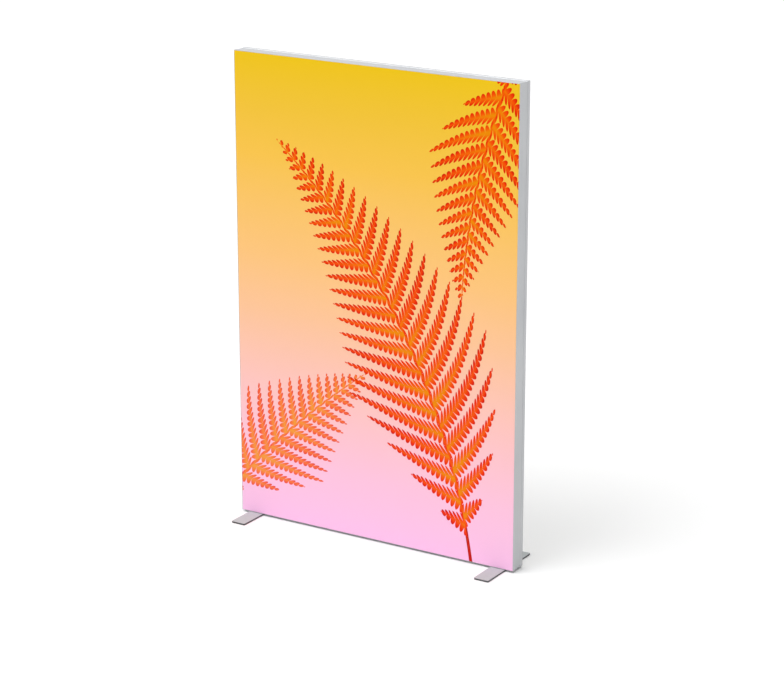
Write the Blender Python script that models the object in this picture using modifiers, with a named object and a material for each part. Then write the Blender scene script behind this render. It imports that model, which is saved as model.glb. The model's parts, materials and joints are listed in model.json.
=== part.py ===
"""Free-standing double-sided light box: a mitred aluminium frame that holds a tensioned fabric on each face.

Units are metres and +Z is up. The origin is on the floor at the centre of the footprint, and the front
faces -Y. Each side member of the frame has its own coordinates: u runs inwards from its outer face, v runs
along world Y from the middle of the frame's depth, and along runs with the member from its middle.
"""

import math
from collections import namedtuple

import bmesh
import bpy
from mathutils import Matrix, Vector

# Points closer than this are one point, and edges sharper than this stay sharp on smooth pieces
WELD_DISTANCE = 0.0000001
SHARP_ANGLE = math.radians(40.0)

# Overall sizes
FRAME_WIDTH = 1.000
FRAME_HEIGHT = 1.500
FRAME_DEPTH = 0.060

# Clearances: between pieces that touch, and past a face that a cutter goes through
FIT = 0.0003
OVERRUN = 0.004

# Fabric panels and the silicone strips sewn to their edges
FABRIC_THICKNESS = 0.0004
EDGE_STRIP_THICKNESS = 0.0023
EDGE_STRIP_HEIGHT = 0.012
EDGE_STRIP_CHAMFER = 0.0006
EDGE_STRIP_SETBACK = 0.001

# Cross-section of the frame extrusion
OUTER_LIP_THICKNESS = 0.0016
GROOVE_WIDTH = 0.0036
GROOVE_DEPTH = 0.013
INNER_LIP_THICKNESS = 0.0016
INNER_LIP_SLOPE = 0.0010
LAND_RECESS = 0.0015
OUTER_WALL = 0.0016
WEB_THICKNESS = 0.0016
CHAMBER_DEPTH = 0.019
INNER_WALL = 0.0016
EDGE_FALL = 0.0006
EDGE_FALL_WIDTH = 0.007
LIP_ROUND = 0.0004
CHANNEL_WIDTH = 0.024
CHANNEL_WALL = 0.0016
CHANNEL_CLEAR_HEIGHT = 0.0035
HOOK_THICKNESS = 0.0012
HOOK_REACH = 0.0025

# Corner keys
KEY_ARM_LENGTH = 0.085
KEY_TIP_CHAMFER = 0.003
KEY_WINDOW_LENGTH = 0.012
KEY_WINDOW_WIDTH = 0.009
KEY_WINDOW_TIP_GAP = 0.008

# Pan-head screws
SCREW_RADIUS = 0.0020
SCREW_HEAD_RADIUS = 0.0039
SCREW_HEAD_HEIGHT = 0.0024
SCREW_CROWN = 0.0007
SCREW_SOCKET_RADIUS = 0.0014
SCREW_SOCKET_DEPTH = 0.0013
SCREW_STEPS = 10
SCREW_GRIP = 0.010
CORNER_SCREW_SETBACK = 0.036

# Crossbar and its end brackets
CROSSBAR_HEIGHT = 0.030
CROSSBAR_DEPTH = 0.020
CROSSBAR_WALL = 0.0015
CROSSBAR_ROUND = 0.0015
BRACKET_HEIGHT = 0.070
BRACKET_DEPTH = 0.024
BRACKET_THICKNESS = 0.0025
BRACKET_TONGUE_LENGTH = 0.025
BRACKET_SLOT_DEPTH = 0.008
BRACKET_SCREW_SETBACK = 0.008
BRACKET_CORNER = 0.003

# Light bars: one board and one lens strip each, two bars on each stile
BOARD_THICKNESS = 0.0016
BOARD_SETBACK = 0.112
BOARD_BRACKET_GAP = 0.005
LED_COUNT = 12
LED_SIZE = 0.005
LED_HEIGHT = 0.0008
LENS_BASE_THICKNESS = 0.0010
LENS_RADIUS = 0.0070
LENS_HEIGHT = 0.0065
LENS_POCKET_SIZE = 0.0062
LENS_POCKET_HEIGHT = 0.0022
LENS_SEGMENTS = 10
LENS_RINGS = 3

# Power supply of the light bars
DRIVER_LENGTH = 0.300
DRIVER_DEPTH = 0.040
DRIVER_HEIGHT = 0.022
DRIVER_CHAMFER = 0.002
DRIVER_RIB_COUNT = 5
DRIVER_RIB_DEPTH = 0.0012
DRIVER_RIB_SHARE = 0.55
DRIVER_EAR_LENGTH = 0.016
DRIVER_EAR_WIDTH = 0.010
DRIVER_EAR_THICKNESS = 0.002
DRIVER_PORT_RISE = 0.009

# Power inlet with its rocker switch, low on the left side
INLET_FLANGE_WIDTH = 0.030
INLET_FLANGE_HEIGHT = 0.052
INLET_FLANGE_THICKNESS = 0.0012
INLET_FLANGE_ROUND = 0.002
INLET_BODY_WIDTH = 0.0268
INLET_BODY_HEIGHT = 0.047
INLET_BODY_DEPTH = 0.020
SOCKET_WIDTH = 0.024
SOCKET_HEIGHT = 0.0164
SOCKET_DEPTH = 0.017
SOCKET_CHAMFER = 0.005
SOCKET_EDGE_WALL = 0.0018
PIN_WIDTH = 0.002
PIN_HEIGHT = 0.004
PIN_MOUTH_SETBACK = 0.0045
PIN_TAIL = 0.0012
PIN_SPREAD = 0.007
PIN_OFFSET = 0.002

# Rocker
ROCKER_POCKET_WIDTH = 0.015
ROCKER_POCKET_DEPTH = 0.0145
ROCKER_RADIUS = 0.0105
ROCKER_POCKET_GAP = 0.0004
ROCKER_EDGE_WALL = 0.0018
ROCKER_PIVOT_DEPTH = 0.007
ROCKER_END_RISE = 0.0052
ROCKER_SKIRT = 0.0018
ROCKER_STEM_LENGTH = 0.0055
ROCKER_STEM_HALF_WIDTH = 0.003
ROCKER_TILT = math.radians(6.0)
ROCKER_ARC_STEPS = 4
TRUNNION_RADIUS = 0.0015
TRUNNION_LENGTH = 0.0008

# Leads, all held in the channels of the frame
MAINS_LEAD_RADIUS = 0.0023
MAINS_LEAD_OFFSET = 0.0069
MAINS_OUTLET_DEPTH = 0.012
MAINS_BEND = 0.0055
MAINS_HOLE_GAP = 0.009
MAINS_HOLE_RADIUS = 0.0045
MAINS_DROP = 0.0085
LED_LEAD_RADIUS = 0.0015
LED_LEAD_OFFSET = 0.0075
LED_LEAD_BEND = 0.005
LEAD_RISE_RUN = 0.024
BEND_STEPS = 5
LEAD_BEVEL_RESOLUTION = 2

# Feet
FOOT_LENGTH = 0.264
FOOT_WIDTH = 0.050
FOOT_THICKNESS = 0.003
FOOT_CORNER = 0.003
FOOT_INSET = 0.054
PAD_THICKNESS = 0.0024
PAD_MARGIN = 0.0008
FOOT_SCREW_RADIUS = 0.003
FOOT_SCREW_HEAD_RADIUS = 0.006
FOOT_SCREW_HEAD_RIM = 0.0004
FOOT_SCREW_SOCKET_RADIUS = 0.0020
FOOT_SCREW_SOCKET_DEPTH = 0.0018
FOOT_SCREW_GRIP = 0.014
FOOT_SCREW_STEPS = 20

# Sides of round cutters, and steps of a rounded corner
HOLE_SEGMENTS = 16
CORNER_STEPS = 3

# Levels that follow from the sizes above
FRAME_LIFT = PAD_THICKNESS + FIT + FOOT_THICKNESS + FIT
FRAME_TOP = FRAME_LIFT + FRAME_HEIGHT
FRAME_MIDDLE = FRAME_LIFT + FRAME_HEIGHT / 2
HALF_DEPTH = FRAME_DEPTH / 2
GROOVE_INNER = OUTER_LIP_THICKNESS + GROOVE_WIDTH
GROOVE_FLOOR = HALF_DEPTH - GROOVE_DEPTH
CHAMBER_HALF = GROOVE_FLOOR - WEB_THICKNESS
CHAMBER_OUTER = LAND_RECESS + OUTER_WALL
CHAMBER_INNER = CHAMBER_OUTER + CHAMBER_DEPTH
CHANNEL_FLOOR = CHAMBER_INNER + INNER_WALL
CHANNEL_HALF = CHANNEL_WIDTH / 2
HOOK_UNDERSIDE = CHANNEL_FLOOR + CHANNEL_CLEAR_HEIGHT
SECTION_THICKNESS = HOOK_UNDERSIDE + HOOK_THICKNESS
STRIP_DISTANCE = GROOVE_INNER - FIT - EDGE_STRIP_THICKNESS
FABRIC_EDGE = OUTER_LIP_THICKNESS + FIT
FABRIC_BACK = HALF_DEPTH - FABRIC_THICKNESS
FOOT_X = FRAME_WIDTH / 2 - FOOT_INSET
PLATE_UNDERSIDE = PAD_THICKNESS + FIT
BRACKET_TOP = SECTION_THICKNESS + FIT + BRACKET_THICKNESS
BRACKET_SCREW_OFFSET = BRACKET_HEIGHT / 2 - BRACKET_SCREW_SETBACK
BOARD_LENGTH = FRAME_HEIGHT / 2 - BOARD_SETBACK - BRACKET_HEIGHT / 2 - BOARD_BRACKET_GAP
BOARD_CENTRE = BRACKET_HEIGHT / 2 + BOARD_BRACKET_GAP + BOARD_LENGTH / 2
BOARD_HALF_WIDTH = CHANNEL_HALF - FIT
BOARD_TOP = CHANNEL_FLOOR + FIT + BOARD_THICKNESS
LENS_BASE_BOTTOM = BOARD_TOP + FIT
DRIVER_BOTTOM = SECTION_THICKNESS + FIT
DRIVER_SCREW_X = DRIVER_LENGTH / 2 + DRIVER_EAR_LENGTH / 2
DRIVER_PORT = DRIVER_BOTTOM + DRIVER_PORT_RISE
MAINS_HOLE_RISE = KEY_ARM_LENGTH + MAINS_HOLE_GAP
INLET_Z = FRAME_LIFT + MAINS_HOLE_RISE + MAINS_DROP + INLET_BODY_HEIGHT / 2
SOCKET_Z = -INLET_BODY_HEIGHT / 2 + SOCKET_EDGE_WALL + SOCKET_HEIGHT / 2
ROCKER_POCKET_HEIGHT = 2 * (ROCKER_RADIUS + ROCKER_POCKET_GAP)
ROCKER_Z = INLET_BODY_HEIGHT / 2 - ROCKER_EDGE_WALL - ROCKER_POCKET_HEIGHT / 2
ROCKER_PIVOT = Vector((-FRAME_WIDTH / 2 + ROCKER_PIVOT_DEPTH, 0, INLET_Z + ROCKER_Z))
PIN_PLACES = {
    "live": (PIN_SPREAD, SOCKET_Z - PIN_OFFSET),
    "neutral": (-PIN_SPREAD, SOCKET_Z - PIN_OFFSET),
    "earth": (0, SOCKET_Z + PIN_OFFSET),
}

Member = namedtuple("Member", "origin inward axis length")
DEPTH_AXIS = Vector((0, 1, 0))
MEMBERS = {
    "top_rail": Member(Vector((0, 0, FRAME_TOP)), Vector((0, 0, -1)), Vector((1, 0, 0)), FRAME_WIDTH),
    "bottom_rail": Member(Vector((0, 0, FRAME_LIFT)), Vector((0, 0, 1)), Vector((1, 0, 0)), FRAME_WIDTH),
    "left_stile": Member(
        Vector((-FRAME_WIDTH / 2, 0, FRAME_MIDDLE)), Vector((1, 0, 0)), Vector((0, 0, 1)), FRAME_HEIGHT
    ),
    "right_stile": Member(
        Vector((FRAME_WIDTH / 2, 0, FRAME_MIDDLE)), Vector((-1, 0, 0)), Vector((0, 0, 1)), FRAME_HEIGHT
    ),
}
SIDES = {"left": -1, "right": 1}
LEVELS = {"bottom": -1, "top": 1}
FACES = {"front": -1, "back": 1}


def cleared_scene():
    """Empties the file and returns the collection of the parts and that of the cutters."""
    for obj in list(bpy.data.objects):
        bpy.data.objects.remove(obj, do_unlink=True)
    for collection in list(bpy.data.collections):
        bpy.data.collections.remove(collection)
    made = []
    for name in ("light_box", "cutters"):
        collection = bpy.data.collections.new(name)
        bpy.context.scene.collection.children.link(collection)
        made.append(collection)
    return made


def principled(name, colour, roughness, metallic):
    material = bpy.data.materials.new(name)
    material.use_nodes = True
    shader = material.node_tree.nodes["Principled BSDF"]
    shader.inputs["Base Color"].default_value = (*colour, 1.0)
    shader.inputs["Roughness"].default_value = roughness
    shader.inputs["Metallic"].default_value = metallic
    material.diffuse_color = (*colour, 1.0)
    return material


PARTS, CUTTERS = cleared_scene()
ANODISED = principled("silver_anodised_aluminium", (0.62, 0.63, 0.65), 0.35, 0.9)
CAST = principled("cast_aluminium", (0.45, 0.46, 0.48), 0.55, 0.9)
ZINC = principled("zinc_plated_steel", (0.55, 0.55, 0.52), 0.35, 1.0)
SILVER_STEEL = principled("silver_coated_steel", (0.60, 0.61, 0.62), 0.45, 0.2)
RUBBER = principled("black_rubber", (0.03, 0.03, 0.03), 0.9, 0.0)
FRONT_CLOTH = principled("printed_polyester", (1.0, 0.62, 0.20), 0.8, 0.0)
BACK_CLOTH = principled("white_polyester", (0.85, 0.85, 0.84), 0.8, 0.0)
SILICONE = principled("clear_silicone", (0.75, 0.77, 0.76), 0.4, 0.0)
BOARD_WHITE = principled("white_circuit_board", (0.88, 0.88, 0.86), 0.5, 0.0)
LENS_CLEAR = principled("clear_lens_plastic", (0.85, 0.88, 0.90), 0.1, 0.0)
DRIVER_GREY = principled("grey_coated_case", (0.30, 0.31, 0.33), 0.5, 0.3)
BLACK_PLASTIC = principled("black_moulded_plastic", (0.02, 0.02, 0.02), 0.45, 0.0)
BRASS = principled("plated_brass", (0.70, 0.68, 0.60), 0.3, 1.0)
LEAD_BLACK = principled("black_cable_sheath", (0.03, 0.03, 0.03), 0.6, 0.0)
LEAD_WHITE = principled("white_cable_sheath", (0.75, 0.75, 0.73), 0.6, 0.0)


def on_member(member, u, v, along):
    """World point of a member's own coordinates."""
    return member.origin + u * member.inward + v * DEPTH_AXIS + along * member.axis


def axes_matrix(origin, x_axis, y_axis):
    """Matrix that stands a shape at origin with its X and Y along the given world axes."""
    columns = Matrix((x_axis, y_axis, x_axis.cross(y_axis))).transposed()
    return Matrix.Translation(origin) @ columns.to_4x4()


def member_matrix(member, along=0.0):
    """Matrix whose X runs inwards from the member's outer face and whose Y runs along the depth."""
    return axes_matrix(on_member(member, 0, 0, along), member.inward, DEPTH_AXIS)


def link(name, mesh, material=None, collection=None):
    obj = bpy.data.objects.new(name, mesh)
    (collection or PARTS).objects.link(obj)
    if material is not None:
        mesh.materials.clear()
        mesh.materials.append(material)
    return obj


def as_cutter(obj):
    """Moves a shape to the cutters, hidden in a render."""
    for collection in list(obj.users_collection):
        collection.objects.unlink(obj)
    CUTTERS.objects.link(obj)
    obj.hide_render = True
    obj.display_type = "WIRE"
    return obj


def mesh_of(name, build):
    """Mesh filled by a function that works on a BMesh."""
    work = bmesh.new()
    build(work)
    bmesh.ops.recalc_face_normals(work, faces=work.faces)
    mesh = bpy.data.meshes.new(name)
    work.to_mesh(mesh)
    work.free()
    return mesh


def block(name, low, high, material=None):
    """Rectangular block between two opposite corners, with its origin at its middle."""
    low, high = Vector(low), Vector(high)
    size = Vector([abs(b - a) for a, b in zip(low, high)])

    def build(work):
        bmesh.ops.create_cube(work, size=1.0)
        bmesh.ops.scale(work, vec=size, verts=work.verts)

    obj = link(name, mesh_of(name, build), material)
    obj.location = (low + high) / 2
    return obj


def rod(name, start, end, radius, segments=HOLE_SEGMENTS, material=None):
    """Round bar between two points."""
    start, end = Vector(start), Vector(end)

    def build(work):
        bmesh.ops.create_cone(
            work,
            cap_ends=True,
            segments=segments,
            radius1=radius,
            radius2=radius,
            depth=(end - start).length,
        )

    obj = link(name, mesh_of(name, build), material)
    obj.matrix_world = Matrix.Translation((start + end) / 2) @ facing(end - start)
    return obj


def facing(direction):
    """Rotation that turns +Z towards a direction."""
    return direction.to_track_quat("Z", "Y").to_matrix().to_4x4()


def evaluated_mesh(obj, name):
    """Mesh of an object with its modifiers in effect, its seams welded and its faces outwards."""
    bpy.context.view_layer.update()
    graph = bpy.context.evaluated_depsgraph_get()
    mesh = bpy.data.meshes.new_from_object(obj.evaluated_get(graph))
    mesh.name = name
    work = bmesh.new()
    work.from_mesh(mesh)
    bmesh.ops.remove_doubles(work, verts=work.verts, dist=WELD_DISTANCE)
    bmesh.ops.recalc_face_normals(work, faces=work.faces)
    work.to_mesh(mesh)
    work.free()
    return mesh


def smoothed(mesh):
    """Round faces shade smoothly, up to the sharp edges between them."""
    mesh.shade_smooth()
    mesh.set_sharp_from_angle(angle=SHARP_ANGLE)
    return mesh


def extrusion(name, outlines, length, matrix, material=None):
    """Flat outlines, the later ones being holes, drawn out by length either side of their plane."""
    curve = bpy.data.curves.new(name, "CURVE")
    curve.dimensions = "2D"
    curve.fill_mode = "BOTH"
    curve.extrude = length / 2
    for outline in outlines:
        spline = curve.splines.new("POLY")
        spline.points.add(len(outline) - 1)
        for point, (x, y) in zip(spline.points, outline):
            point.co = (x, y, 0, 1)
        spline.use_cyclic_u = True
    drawn = bpy.data.objects.new(name, curve)
    PARTS.objects.link(drawn)
    mesh = smoothed(evaluated_mesh(drawn, name))
    bpy.data.objects.remove(drawn, do_unlink=True)
    obj = link(name, mesh, material)
    obj.matrix_world = matrix
    return obj


def turned(name, profile, steps, matrix, material=None):
    """Closed profile of (radius, height) points, top to bottom down its outer side, turned round +Z."""
    mesh = bpy.data.meshes.new(name)
    points = [(radius, 0, height) for radius, height in profile]
    mesh.from_pydata(points, [(i, i + 1) for i in range(len(points) - 1)], [])
    outline = link(name, mesh)
    screw = outline.modifiers.new("turn", "SCREW")
    screw.axis = "Z"
    screw.steps = steps
    screw.render_steps = steps
    screw.use_merge_vertices = True
    screw.merge_threshold = WELD_DISTANCE
    solid = smoothed(evaluated_mesh(outline, name))
    bpy.data.objects.remove(outline, do_unlink=True)
    obj = link(name, solid, material)
    obj.matrix_world = matrix
    return obj


def combine(obj, other, operation):
    """Cuts, joins or intersects with another shape, which becomes a cutter."""
    as_cutter(other)
    change = obj.modifiers.new(other.name, "BOOLEAN")
    change.operation = operation
    change.object = other
    change.solver = "EXACT"
    return obj


def cut(obj, *cutters):
    for cutter in cutters:
        combine(obj, cutter, "DIFFERENCE")
    return obj


def join(obj, *others):
    for other in others:
        combine(obj, other, "UNION")
    return obj


def gathered(name, pieces):
    """One mesh object out of several separate ones, to serve as a single cutter or a single joined piece."""
    work = bmesh.new()
    for piece in pieces:
        start = len(work.verts)
        mesh = evaluated_mesh(piece, piece.name)
        work.from_mesh(mesh)
        work.verts.ensure_lookup_table()
        bmesh.ops.transform(work, matrix=piece.matrix_world, verts=work.verts[start:])
        bpy.data.meshes.remove(mesh)
        bpy.data.objects.remove(piece, do_unlink=True)
    mesh = bpy.data.meshes.new(name)
    work.to_mesh(mesh)
    work.free()
    return link(name, mesh)


def baked(obj, name):
    """Mesh of a finished prototype in world coordinates, whose object and cutters are then removed."""
    mesh = evaluated_mesh(obj, name)
    mesh.transform(obj.matrix_world)
    for modifier in obj.modifiers:
        if modifier.type == "BOOLEAN":
            bpy.data.objects.remove(modifier.object, do_unlink=True)
    bpy.data.objects.remove(obj, do_unlink=True)
    return mesh


def rectangle(half_width, half_height):
    """Outline of a rectangle about the origin."""
    return [
        (half_width, half_height),
        (-half_width, half_height),
        (-half_width, -half_height),
        (half_width, -half_height),
    ]


def rounded_rectangle(half_width, half_height, radius):
    """Outline of a rectangle about the origin with quarter-circle corners."""
    points = []
    for quarter, (sx, sy) in enumerate(((1, 1), (-1, 1), (-1, -1), (1, -1))):
        centre = (sx * (half_width - radius), sy * (half_height - radius))
        for step in range(CORNER_STEPS + 1):
            angle = (quarter + step / CORNER_STEPS) * math.pi / 2
            points.append((centre[0] + radius * math.cos(angle), centre[1] + radius * math.sin(angle)))
    return points


def section_outlines():
    """The frame section in (u, v): its outer outline with both grooves, and its closed chamber."""
    slope_start = HALF_DEPTH - EDGE_FALL_WIDTH
    half = [
        (LAND_RECESS, CHAMBER_HALF),
        (0, CHAMBER_HALF + LAND_RECESS),
        (0, slope_start),
    ]
    for step in range(CORNER_STEPS + 1):
        angle = step / CORNER_STEPS * math.pi / 2
        half.append(
            (
                EDGE_FALL + LIP_ROUND * (1 - math.cos(angle)),
                HALF_DEPTH - LIP_ROUND * (1 - math.sin(angle)),
            )
        )
    lip_tip = FABRIC_BACK - FIT
    lip_side = GROOVE_INNER + INNER_LIP_THICKNESS
    channel_side = CHANNEL_HALF + CHANNEL_WALL
    hook_edge = CHANNEL_HALF - HOOK_REACH
    half += [
        (OUTER_LIP_THICKNESS, HALF_DEPTH),
        (OUTER_LIP_THICKNESS, GROOVE_FLOOR),
        (GROOVE_INNER, GROOVE_FLOOR),
        (GROOVE_INNER, lip_tip),
        (lip_side, lip_tip - INNER_LIP_SLOPE),
        (lip_side, GROOVE_FLOOR),
        (CHANNEL_FLOOR, GROOVE_FLOOR),
        (CHANNEL_FLOOR, channel_side),
        (SECTION_THICKNESS, channel_side),
        (SECTION_THICKNESS, hook_edge),
        (HOOK_UNDERSIDE, hook_edge),
        (HOOK_UNDERSIDE, CHANNEL_HALF),
        (CHANNEL_FLOOR, CHANNEL_HALF),
    ]
    outer = half + [(u, -v) for u, v in reversed(half)]
    middle = (CHAMBER_OUTER + CHAMBER_INNER) / 2
    chamber = [(middle + u, v) for u, v in rectangle(CHAMBER_DEPTH / 2, CHAMBER_HALF)]
    return outer, chamber


def mitre_cutter(member, end):
    """Block whose face is the 45 degree plane at one end of a member, half a fit short of the corner."""
    size = FRAME_DEPTH + SECTION_THICKNESS
    normal = (member.inward + end * member.axis).normalized()
    corner = on_member(member, 0, 0, end * member.length / 2)
    name = f"mitre_{member.origin.x:.2f}_{member.origin.z:.2f}_{end}"
    cutter = block(name, (-size, -size, 0), (size, size, 2 * size))
    centre = corner + normal * (size - FIT / 2)
    cutter.matrix_world = axes_matrix(centre, DEPTH_AXIS, normal.cross(DEPTH_AXIS))
    return cutter


def frame_member(name):
    member = MEMBERS[name]
    obj = extrusion(name, section_outlines(), member.length, member_matrix(member), ANODISED)
    cut(obj, mitre_cutter(member, -1), mitre_cutter(member, 1))
    return obj


def wall_hole(name, member, along, v, radius, outer=False):
    """Round cutter through the inner wall of a member, or through its outer wall."""
    low = -OVERRUN if outer else CHAMBER_INNER - OVERRUN
    high = CHAMBER_OUTER + OVERRUN if outer else CHANNEL_FLOOR + OVERRUN
    return rod(name, on_member(member, low, v, along), on_member(member, high, v, along), radius)


def corner_key(level, side):
    """L-shaped key that joins a rail and a stile, with its arms in the chambers of both."""
    inward_x = Vector((-SIDES[side], 0, 0))
    inward_z = Vector((0, 0, -LEVELS[level]))
    corner = Vector((SIDES[side] * FRAME_WIDTH / 2, 0, FRAME_TOP if level == "top" else FRAME_LIFT))
    near = CHAMBER_OUTER + FIT
    far = CHAMBER_INNER - FIT
    tip = KEY_ARM_LENGTH
    outline = [
        (near + KEY_TIP_CHAMFER, near),
        (tip - KEY_TIP_CHAMFER, near),
        (tip, near + KEY_TIP_CHAMFER),
        (tip, far - KEY_TIP_CHAMFER),
        (tip - KEY_TIP_CHAMFER, far),
        (far, far),
        (far, tip - KEY_TIP_CHAMFER),
        (far - KEY_TIP_CHAMFER, tip),
        (near + KEY_TIP_CHAMFER, tip),
        (near, tip - KEY_TIP_CHAMFER),
        (near, near + KEY_TIP_CHAMFER),
    ]
    name = f"corner_key_{level}_{side}"
    key = extrusion(
        name, [outline], 2 * (CHAMBER_HALF - FIT), axes_matrix(corner, inward_x, inward_z), CAST
    )
    middle = (near + far) / 2
    window_start = tip - KEY_WINDOW_TIP_GAP - KEY_WINDOW_LENGTH
    reach = CHAMBER_HALF + OVERRUN
    for arm, (first, second) in {"rail": (inward_x, inward_z), "stile": (inward_z, inward_x)}.items():
        low = corner + first * window_start + second * (middle - KEY_WINDOW_WIDTH / 2)
        high = corner + first * (window_start + KEY_WINDOW_LENGTH) + second * (middle + KEY_WINDOW_WIDTH / 2)
        cut(
            key,
            block(f"{name}_{arm}_window", low - reach * DEPTH_AXIS, high + reach * DEPTH_AXIS),
            rod(
                f"{name}_{arm}_screw_hole",
                corner + first * CORNER_SCREW_SETBACK + second * (far + OVERRUN),
                corner + first * CORNER_SCREW_SETBACK + second * (CHANNEL_FLOOR - SCREW_GRIP - SCREW_RADIUS),
                SCREW_RADIUS + FIT,
            ),
        )
    if level == "bottom":
        foot_axis = corner + inward_x * FOOT_INSET
        foot_hole_end = FOOT_SCREW_GRIP + FOOT_SCREW_RADIUS
        cut(
            key,
            rod(
                f"{name}_foot_hole",
                foot_axis,
                foot_axis + inward_z * foot_hole_end,
                FOOT_SCREW_RADIUS + FIT,
            ),
        )
    return key


def pan_screw(name, seat, towards_head, grip):
    """Pan-head screw with a round socket; seat is the underside of its head."""
    profile = [
        (0, SCREW_HEAD_HEIGHT - SCREW_SOCKET_DEPTH),
        (SCREW_SOCKET_RADIUS, SCREW_HEAD_HEIGHT - SCREW_SOCKET_DEPTH),
        (SCREW_SOCKET_RADIUS, SCREW_HEAD_HEIGHT),
        (SCREW_HEAD_RADIUS - SCREW_CROWN, SCREW_HEAD_HEIGHT),
        (SCREW_HEAD_RADIUS, SCREW_HEAD_HEIGHT - SCREW_CROWN),
        (SCREW_HEAD_RADIUS, 0),
        (SCREW_RADIUS, 0),
        (SCREW_RADIUS, -grip),
        (0, -grip),
    ]
    return turned(name, profile, SCREW_STEPS, Matrix.Translation(seat) @ facing(towards_head), ZINC)


def corner_screws(level, side):
    """One screw through the inner wall of each member into the corner key."""
    for kind, member_name in (("rail", f"{level}_rail"), ("stile", f"{side}_stile")):
        member = MEMBERS[member_name]
        sign = SIDES[side] if kind == "rail" else LEVELS[level]
        along = sign * (member.length / 2 - CORNER_SCREW_SETBACK)
        seat = on_member(member, CHANNEL_FLOOR + FIT, 0, along)
        pan_screw(f"corner_screw_{level}_{side}_{kind}", seat, member.inward, SCREW_GRIP)


def crossbar():
    """Square tube across the middle of the frame, between the two end brackets."""
    inset = BRACKET_TOP + FIT
    outer = rounded_rectangle(CROSSBAR_HEIGHT / 2, CROSSBAR_DEPTH / 2, CROSSBAR_ROUND)
    inner = rectangle(CROSSBAR_HEIGHT / 2 - CROSSBAR_WALL, CROSSBAR_DEPTH / 2 - CROSSBAR_WALL)
    matrix = axes_matrix(Vector((0, 0, FRAME_MIDDLE)), Vector((0, 0, 1)), DEPTH_AXIS)
    return extrusion("crossbar", [outer, inner], FRAME_WIDTH - 2 * inset, matrix, ANODISED)


def crossbar_bracket(side):
    """Flange on the stile's channel with a forked tongue inside the end of the crossbar."""
    member = MEMBERS[f"{side}_stile"]
    name = f"crossbar_bracket_{side}"
    flange = extrusion(
        name,
        [rounded_rectangle(BRACKET_DEPTH / 2, BRACKET_HEIGHT / 2, BRACKET_CORNER)],
        BRACKET_THICKNESS,
        axes_matrix(
            on_member(member, BRACKET_TOP - BRACKET_THICKNESS / 2, 0, 0), DEPTH_AXIS, member.axis
        ),
        CAST,
    )
    half_z = CROSSBAR_HEIGHT / 2 - CROSSBAR_WALL - FIT
    half_y = CROSSBAR_DEPTH / 2 - CROSSBAR_WALL - FIT
    tongue_root = BRACKET_TOP - BRACKET_THICKNESS / 2
    tongue_end = BRACKET_TOP + BRACKET_TONGUE_LENGTH
    tongue = block(
        f"{name}_tongue",
        on_member(member, tongue_root, -half_y, -half_z),
        on_member(member, tongue_end, half_y, half_z),
    )
    slot_half = BRACKET_SLOT_DEPTH / 2
    slot = block(
        f"{name}_slot",
        on_member(member, BRACKET_TOP + BRACKET_THICKNESS, -half_y - OVERRUN, -slot_half),
        on_member(member, tongue_end + OVERRUN, half_y + OVERRUN, slot_half),
    )
    join(flange, tongue)
    cut(flange, slot)
    for level, sign in LEVELS.items():
        along = sign * BRACKET_SCREW_OFFSET
        cut(
            flange,
            rod(
                f"{name}_{level}_hole",
                on_member(member, SECTION_THICKNESS - OVERRUN, 0, along),
                on_member(member, BRACKET_TOP + OVERRUN, 0, along),
                SCREW_RADIUS + FIT,
            ),
        )
        grip = BRACKET_TOP + FIT - CHAMBER_INNER + SCREW_RADIUS
        seat = on_member(member, BRACKET_TOP + FIT, 0, along)
        pan_screw(f"bracket_screw_{side}_{level}", seat, member.inward, grip)
    return flange


def led_positions():
    pitch = BOARD_LENGTH / LED_COUNT
    return [(index + 0.5) * pitch - BOARD_LENGTH / 2 for index in range(LED_COUNT)]


def led_board_mesh():
    """Circuit board with one light-emitting chip per lens; X is u and Z is the board's length."""
    half_chip = LED_SIZE / 2
    board = block(
        "board_prototype",
        (BOARD_TOP - BOARD_THICKNESS, -BOARD_HALF_WIDTH, -BOARD_LENGTH / 2),
        (BOARD_TOP, BOARD_HALF_WIDTH, BOARD_LENGTH / 2),
    )
    chips = [
        block(
            f"chip_{index}",
            (BOARD_TOP - BOARD_THICKNESS / 2, -half_chip, z - half_chip),
            (BOARD_TOP + LED_HEIGHT, half_chip, z + half_chip),
        )
        for index, z in enumerate(led_positions())
    ]
    return baked(join(board, gathered("chips", chips)), "led_board")


def lens_mesh():
    """Strip with a domed lens and a pocket for each chip; X is u and Z is the strip's length."""
    base_top = LENS_BASE_BOTTOM + LENS_BASE_THICKNESS
    strip = block(
        "lens_prototype",
        (LENS_BASE_BOTTOM, -BOARD_HALF_WIDTH, -BOARD_LENGTH / 2),
        (base_top, BOARD_HALF_WIDTH, BOARD_LENGTH / 2),
    )
    profile = [
        (LENS_RADIUS * math.sin(angle), LENS_HEIGHT * math.cos(angle))
        for angle in (step / LENS_RINGS * math.pi / 2 for step in range(LENS_RINGS + 1))
    ]
    profile += [(LENS_RADIUS, -LENS_BASE_THICKNESS / 2), (0, -LENS_BASE_THICKNESS / 2)]
    profile[0] = (0, LENS_HEIGHT)
    half_pocket = LENS_POCKET_SIZE / 2
    domes = []
    pockets = []
    for index, z in enumerate(led_positions()):
        upright = axes_matrix(Vector((base_top, 0, z)), DEPTH_AXIS, Vector((0, 0, 1)))
        domes.append(turned(f"dome_{index}", profile, LENS_SEGMENTS, upright))
        pockets.append(
            block(
                f"pocket_{index}",
                (LENS_BASE_BOTTOM - OVERRUN, -half_pocket, z - half_pocket),
                (LENS_BASE_BOTTOM + LENS_POCKET_HEIGHT, half_pocket, z + half_pocket),
            )
        )
    join(strip, gathered("domes", domes))
    cut(strip, gathered("pockets", pockets))
    return smoothed(baked(strip, "lens_strip"))


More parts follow.
